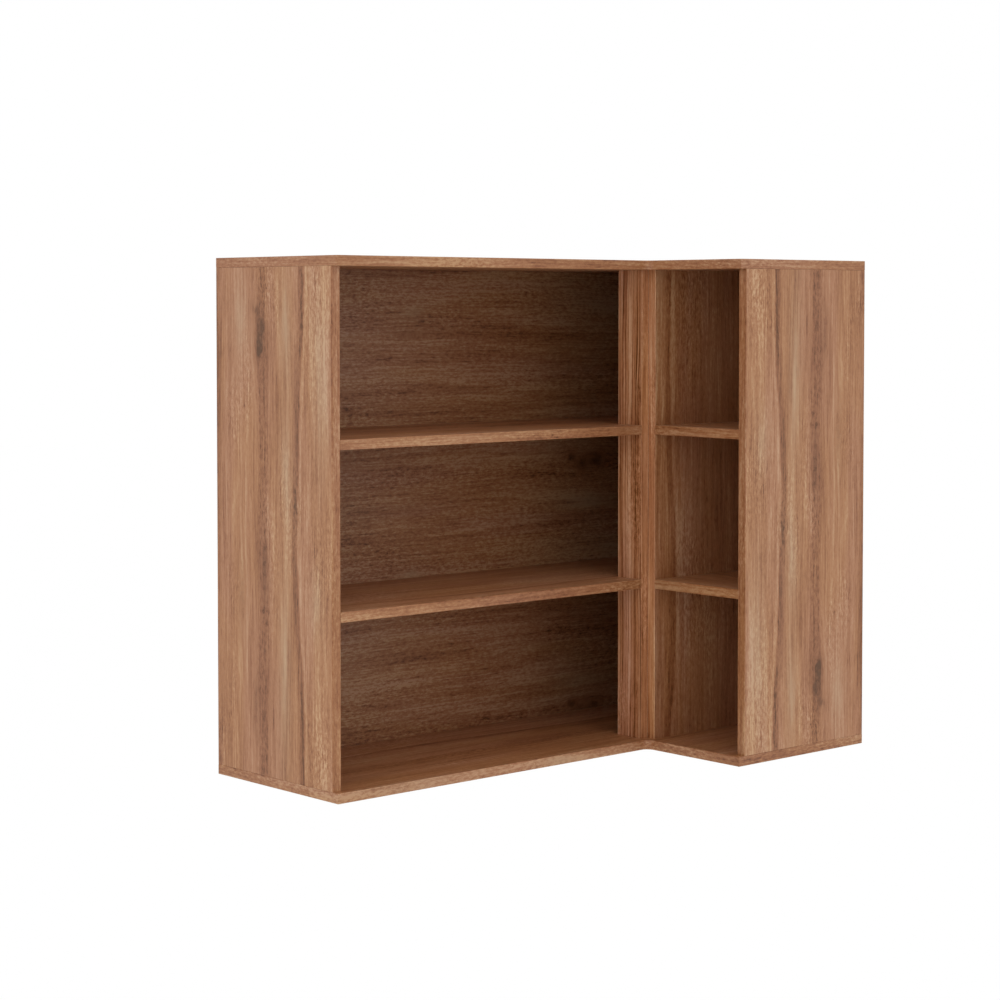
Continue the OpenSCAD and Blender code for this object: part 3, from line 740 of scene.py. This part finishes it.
def makeBack(node, spec):
    bm = mergedCopy(node)
    for face in bm.faces:
        inFront = face.normal[spec["thick"]] < -tolerance["facing"]
        face.material_index = 0 if inFront else 1
    easeBoard(bm, boardLook["backArris"])
    layPrint(bm, node, spec, spec["thick"])
    makePiece(bm, node, ["back", "fibreboard"])


for node, spec in backs.items():
    makeBack(node, spec)
print("backs made:", len(backs))

# Edge bands: tape with rounded outer edges
tape = {
    "round": 0.8 * mm,
    "roundSteps": 4,
}
caseBands = {  # one ribbon round the top and one round the bottom, and the print on each
    "top_edge_bands": (13.0, 0.2),
    "bottom_edge_bands": (14.1, 0.9),
}
frontBands = {  # straight strips: which way each faces, and the print on it
    "left_side_edge_band": (1, (15.02, 0.0)),
    "right_side_edge_band": (0, (15.45, 0.9)),
    "corner_stile_edge_band": (1, (15.47, 0.5), "warmTape"),
    "niche_divider_edge_band": (0, (15.49, 0.2), "warmTape"),
    "upper_corner_shelf_edge_band": (1, (16.10, 0.2)),
    "lower_corner_shelf_edge_band": (1, (16.28, 0.1)),
    "upper_niche_shelf_edge_band": (0, (15.98, 0.6)),
    "lower_niche_shelf_edge_band": (0, (16.02, 1.0)),
}


def caseBand(node, printAt):
    # It runs along the outer end, the front, round the inner corner and along the near end
    x = planLines(node, 0)
    y = planLines(node, 1)
    z = planLines(node, 2)
    outline = [(x[0], y[4]), (x[0], y[2]), (x[2], y[2]), (x[2], y[0]), (x[4], y[0]),
               (x[4], y[1]), (x[3], y[1]), (x[3], y[3]), (x[1], y[3]), (x[1], y[4])]
    bm = bmesh.new()
    sole = bm.faces.new([bm.verts.new((*place, z[0])) for place in outline])
    raised = bmesh.ops.extrude_face_region(bm, geom=[sole])["geom"]
    bmesh.ops.translate(bm, vec=(0, 0, z[-1] - z[0]),
                        verts=[v for v in raised if isinstance(v, bmesh.types.BMVert)])
    bmesh.ops.recalc_face_normals(bm, faces=bm.faces)
    roundInnerCorner(bm, (x[2], y[2]), innerCorner["round"])
    roundInnerCorner(bm, (x[3], y[3]), innerCorner["round"] + x[3] - x[2])
    bm.normal_update()
    rims = [e for e in bm.edges  # between the tape's face and its upper or lower edge
            if any(f.normal.x + f.normal.y < -tolerance["facing"] for f in e.link_faces)
            and any(abs(f.normal.z) > tolerance["facing"] for f in e.link_faces)]
    easeEdges(bm, rims, tape["round"], tape["roundSteps"])
    grain = bm.loops.layers.uv.new("grain")
    for loop in (loop for face in bm.faces for loop in face.loops):
        at = loop.vert.co
        run = at.x - x[0] + y[4] - at.y  # the print runs on round the corners
        loop[grain].uv = (at.z - z[0] + printAt[0], run + printAt[1])
    makePiece(bm, node, ["tape"])


def frontBand(node, outAxis, printAt, finish="tape"):
    # It faces the low end of outAxis, and its long axis carries the grain
    low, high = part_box(node)
    size = high - low
    along = max(range(3), key=lambda axis: size[axis])
    others = [axis for axis in range(3) if axis != along]
    bm = bmesh.new()
    bmesh.ops.create_cube(bm, size=1)
    bmesh.ops.scale(bm, vec=size, verts=bm.verts)
    bmesh.ops.translate(bm, vec=(low + high) / 2, verts=bm.verts)
    rims = [e for e in bm.edges
            if all(abs(v.co[outAxis] - low[outAxis]) < tolerance["touch"] for v in e.verts)
            and abs(e.verts[0].co[along] - e.verts[1].co[along]) > size[along] / 2]
    easeEdges(bm, rims, tape["round"], tape["roundSteps"])
    grain = bm.loops.layers.uv.new("grain")
    for loop in (loop for face in bm.faces for loop in face.loops):
        at = loop.vert.co
        u = sum(at[axis] - low[axis] for axis in others)
        loop[grain].uv = (u + printAt[0], at[along] - low[along] + printAt[1])
    makePiece(bm, node, [finish])


for node, printAt in caseBands.items():
    caseBand(node, printAt)
for node, spec in frontBands.items():
    frontBand(node, *spec)
print("edge bands made:", len(caseBands) + len(frontBands))

# Fittings keep their CAD solids. Those that show get eased rims: finish, slot and how far.
shownFittings = {
    "top_screw_caps": ("cap", "cap_plastic", 0.35 * mm),
    "bottom_screw_caps": ("cap", "cap_plastic", 0.35 * mm),
    "shelf_cam_locks": ("cam", "cam_zinc", 0.3 * mm),
    "left_hanger_plates": ("steel", "hanger_steel", 0.4 * mm),
    "right_hanger_plates": ("steel", "hanger_steel", 0.4 * mm),
    "left_hanger_screws": ("steel", "screw_steel", 0.15 * mm),
    "right_hanger_screws": ("steel", "screw_steel", 0.15 * mm),
}
hiddenFittings = {
    "steel": ["top_housing_screws", "bottom_housing_screws", "batten_screws", "shelf_cam_bolts",
              "divider_through_bolts"],
    "beech": ["top_dowels", "bottom_dowels", "rail_dowels", "shelf_dowels", "batten_dowels"],
}
fittingRim = math.radians(60)  # a rim turns at least that far
crossRecess = {  # for the driver, in the heads of the hanger screws
    "width": 1.0 * mm,
    "reach": 2.1 * mm,  # from the middle to the tip of an arm
    "deep": 1.2 * mm,
    "taper": 0.6,
    "outAxis": {"left_hanger_screws": 1, "right_hanger_screws": 0},
    "level": 0.99,  # how squarely a head faces outwards
}


def cutCross(bm, head, outAxis):
    middle = head.calc_center_median()
    planeAxes = [axis for axis in range(3) if axis != outAxis]

    def spread(face):  # how far the face's middle lies from the screw's, along both axes
        away = face.calc_center_median() - middle
        return sorted(abs(away[axis]) for axis in planeAxes)

    def headFaces():
        return [f for f in bm.faces if f.normal[outAxis] > crossRecess["level"]
                and (f.calc_center_median() - middle).length < crossRecess["reach"] * 2]

    for axis in planeAxes:
        normal = Vector([float(axis == other) for other in range(3)])
        for offset in (crossRecess["width"] / 2, crossRecess["reach"]):
            for side in (-1, 1):
                faces = headFaces()
                rims = dict.fromkeys(part for f in faces for part in (*f.edges, *f.verts))
                bmesh.ops.bisect_plane(bm, geom=[*faces, *rims], dist=tolerance["weld"],
                                       plane_co=middle + normal * offset * side,
                                       plane_no=normal)
    arms = [f for f in headFaces() if spread(f)[0] < crossRecess["width"] / 2
            and spread(f)[1] < crossRecess["reach"]]
    sunk = bmesh.ops.extrude_face_region(bm, geom=arms)["geom"]
    bmesh.ops.delete(bm, geom=[f for f in arms if f.is_valid], context="FACES")
    floor = [v for v in sunk if isinstance(v, bmesh.types.BMVert)]
    taper = Vector([1 if axis == outAxis else crossRecess["taper"] for axis in range(3)])
    bmesh.ops.scale(bm, vec=taper, space=Matrix.Translation(-middle), verts=floor)
    down = Vector([-crossRecess["deep"] if axis == outAxis else 0 for axis in range(3)])
    bmesh.ops.translate(bm, vec=down, verts=floor)


def cutCrosses(bm, node, outAxis):
    bm.normal_update()
    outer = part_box(node)[1][outAxis]
    middles = [f.calc_center_median() for f in bm.faces
               if f.normal[outAxis] > crossRecess["level"]]
    for place in middles:
        if abs(place[outAxis] - outer) < tolerance["touch"]:
            head = min(bm.faces, key=lambda f: (f.calc_center_median() - place).length)
            cutCross(bm, head, outAxis)


def makeFitting(node, key, slot, width):
    bm = mergedCopy(node)
    easeEdges(bm, outerEdges(bm, fittingRim), width)
    bmesh.ops.dissolve_degenerate(bm, dist=tolerance["sliver"], edges=bm.edges)
    if node in crossRecess["outAxis"]:
        cutCrosses(bm, node, crossRecess["outAxis"][node])
    makePiece(bm, node, [key])


for node, spec in shownFittings.items():
    makeFitting(node, *spec)
for key, members in hiddenFittings.items():
    for node in members:
        nodes[node].data.materials.clear()
        nodes[node].data.materials.append(finishes[key])
print("fittings made:", len(shownFittings))

# Studio: a white floor well below the hung cabinet, an even sky and two soft lamps that
# stand to the sides, so that they light the outer faces more than the bays
studio = {
    "floorZ": -3.60,  # low enough to look up at the underside
    "floorSize": 120,
    "floorGrey": 0.8,  # where only the cabinet sees it
    "sky": 1.0,
    "lamps": {
        "leftLamp": {"at": (-3.2, -0.9, 1.2), "size": 1.8, "power": 6},
        "rightLamp": {"at": (1.5, -2.9, 1.5), "size": 2.2, "power": 4},
    },
    "aim": Vector((0, 0, 0.4)),
}


def seenRay(finish):  # 1 for what the camera sees directly, in a mirror or through glass
    rays = finish.node("LightPath", {}, {}).socket.node.outputs
    seen = [Wire(finish, rays[name]) for name in
            ("Is Camera Ray", "Is Glossy Ray", "Is Transmission Ray")]
    return (seen[0] + seen[1] + seen[2]).clamped()


def makeSky():
    world = bpy.data.worlds.new("sky")
    world.use_nodes = True
    scene.world = world
    world.node_tree.nodes.clear()
    finish = Finish(world.node_tree)
    level = studio["sky"] + seenRay(finish) * (1 - studio["sky"])
    lit = finish.node("Background", {}, {"Color": (1, 1, 1), "Strength": level})
    finish.node("OutputWorld", {}, {"Surface": lit}, output=None)


def makeFloor():
    bm = bmesh.new()
    bmesh.ops.create_grid(bm, x_segments=1, y_segments=1, size=studio["floorSize"] / 2)
    bmesh.ops.translate(bm, vec=(0, 0, studio["floorZ"]), verts=bm.verts)
    mesh = bpy.data.meshes.new("floor")
    bm.to_mesh(mesh)
    bm.free()
    material, finish = newFinish("paleFloor", Roughness=1.0, Specular_IOR_Level=0.0)
    grey = [studio["floorGrey"]] * 3
    white = [1 / studio["sky"]] * 3
    finish.feed("Base Color", finish.mix(seenRay(finish), grey, white))
    mesh.materials.append(material)
    floor = bpy.data.objects.new("floor", mesh)
    scene.collection.objects.link(floor)


def makeLamp(name, spec):
    lamp = bpy.data.lights.new(name, "AREA")
    lamp.size = spec["size"]
    lamp.energy = spec["power"]
    holder = bpy.data.objects.new(name, lamp)
    holder.location = spec["at"]
    towards = studio["aim"] - Vector(spec["at"])
    holder.rotation_euler = towards.to_track_quat("-Z", "Y").to_euler()
    scene.collection.objects.link(holder)


makeSky()
makeFloor()
for name, spec in studio["lamps"].items():
    makeLamp(name, spec)
scene.view_settings.view_transform = "Standard"
print("studio made")
